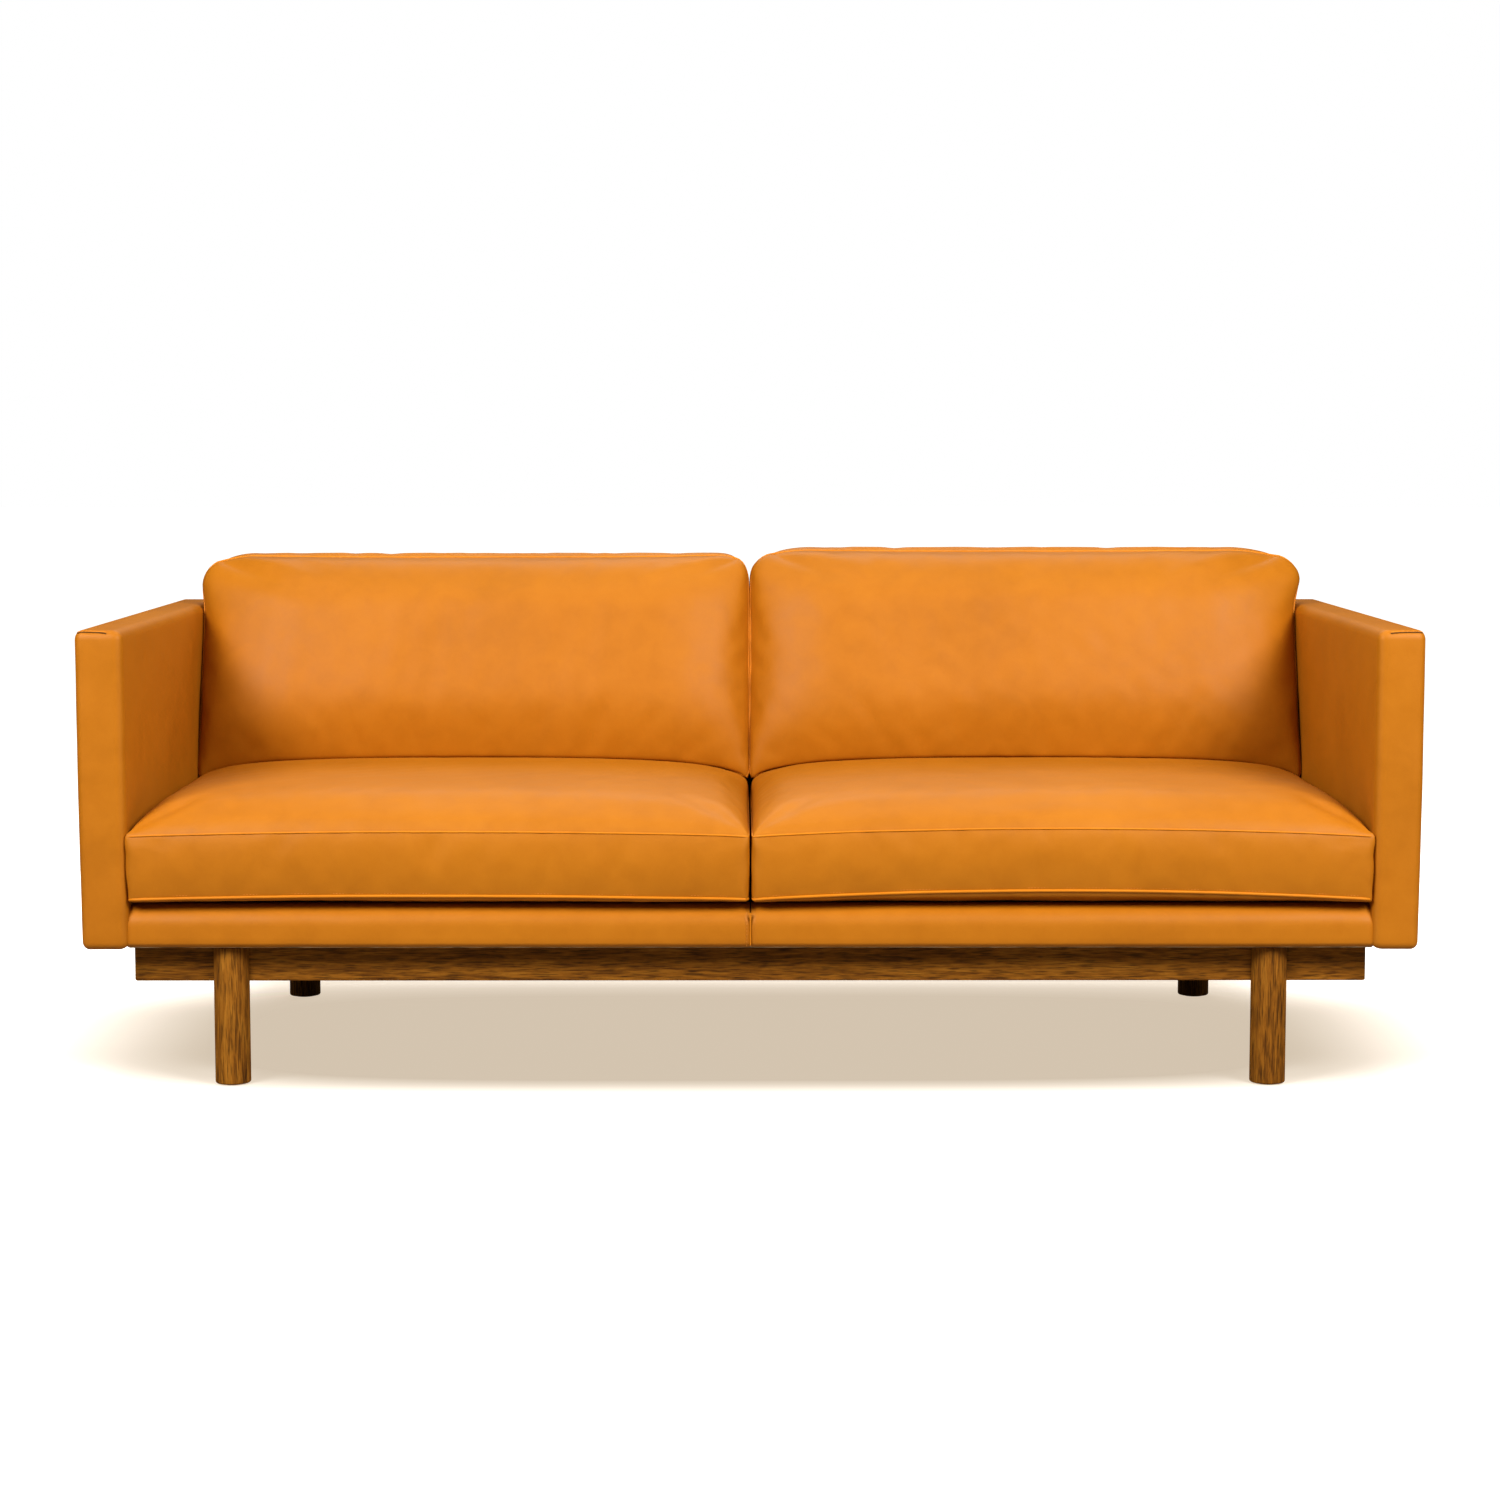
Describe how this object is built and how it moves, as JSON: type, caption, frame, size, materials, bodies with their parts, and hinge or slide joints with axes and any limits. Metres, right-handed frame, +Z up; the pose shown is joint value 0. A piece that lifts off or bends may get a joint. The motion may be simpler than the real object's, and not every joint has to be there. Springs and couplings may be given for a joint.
{
  "type": "sofa",
  "caption": "Low leather sofa with slim square arms, loose seat and back cushions, a timber plinth and turned round legs",
  "frame": {"origin": "middle of the floor area under the sofa, at floor level: the bottom centre of the bounding box", "axes": "+X along the sofa to the right as seen from the front, +Y from the front to the back, +Z up"},
  "size_m": [2.1, 0.9, 0.8382],
  "materials": {
    "leather": "satin",
    "leg_timber": "satin",
    "frame_timber": "matte",
    "foam": "matte",
    "webbing": "matte",
    "lining": "matte",
    "felt": "matte",
    "fastener": "satin",
    "zip": "matte"
  },
  "bodies": {
    "frame": {"plinth_front_rail": "leg_timber", "plinth_back_rail": "leg_timber", "plinth_left_rail": "leg_timber", "plinth_right_rail": "leg_timber", "plinth_centre_rail": "leg_timber", "leg_front_left": "leg_timber", "leg_front_right": "leg_timber", "leg_rear_left": "leg_timber", "leg_rear_right": "leg_timber", "leg_bolts": "fastener", "leg_inserts": "fastener", "leg_glides": "felt", "plinth_screws": "fastener", "seat_front_rail": "frame_timber", "seat_back_rail": "frame_timber", "seat_left_rail": "frame_timber", "seat_right_rail": "frame_timber", "seat_centre_rail": "frame_timber", "seat_corner_blocks": "frame_timber", "seat_webbing": "webbing", "deck_pad": "foam", "dust_cover": "lining", "base_front_pad": "foam", "base_cover_left": "leather", "base_cover_right": "leather", "arm_left_front_post": "frame_timber", "arm_left_back_post": "frame_timber", "arm_left_top_rail": "frame_timber", "arm_left_bottom_rail": "frame_timber", "arm_left_pad": "foam", "arm_left_cover": "leather", "arm_right_front_post": "frame_timber", "arm_right_back_post": "frame_timber", "arm_right_top_rail": "frame_timber", "arm_right_bottom_rail": "frame_timber", "arm_right_pad": "foam", "arm_right_cover": "leather", "arm_boards": "frame_timber", "arm_bolts": "fastener", "back_posts": "frame_timber", "back_top_rail": "frame_timber", "back_bottom_rail": "frame_timber", "back_webbing": "webbing", "back_pad": "foam", "back_inner_cover": "leather", "back_outer_cover": "leather", "back_bolts": "fastener"},
    "seat_cushion_left": {"seat_cushion_left_cover": "leather", "seat_cushion_left_core": "foam", "seat_cushion_left_zip": "zip"},
    "seat_cushion_right": {"seat_cushion_right_cover": "leather", "seat_cushion_right_core": "foam", "seat_cushion_right_zip": "zip"},
    "back_cushion_left": {"back_cushion_left_cover": "leather", "back_cushion_left_core": "foam", "back_cushion_left_zip": "zip"},
    "back_cushion_right": {"back_cushion_right_cover": "leather", "back_cushion_right_core": "foam", "back_cushion_right_zip": "zip"}
  },
  "joints": [
    {"name": "seat_left_pull", "type": "slide", "parent": "frame", "child": "seat_cushion_left", "axis": [0, -1, 0], "range_m": [0, 0.85]},
    {"name": "seat_right_pull", "type": "slide", "parent": "frame", "child": "seat_cushion_right", "axis": [0, -1, 0], "range_m": [0, 0.85]},
    {"name": "back_left_lift", "type": "slide", "parent": "frame", "child": "back_cushion_left", "axis": [0, 0, 1], "range_m": [0, 0.45]},
    {"name": "back_right_lift", "type": "slide", "parent": "frame", "child": "back_cushion_right", "axis": [0, 0, 1], "range_m": [0, 0.45]}
  ]
}
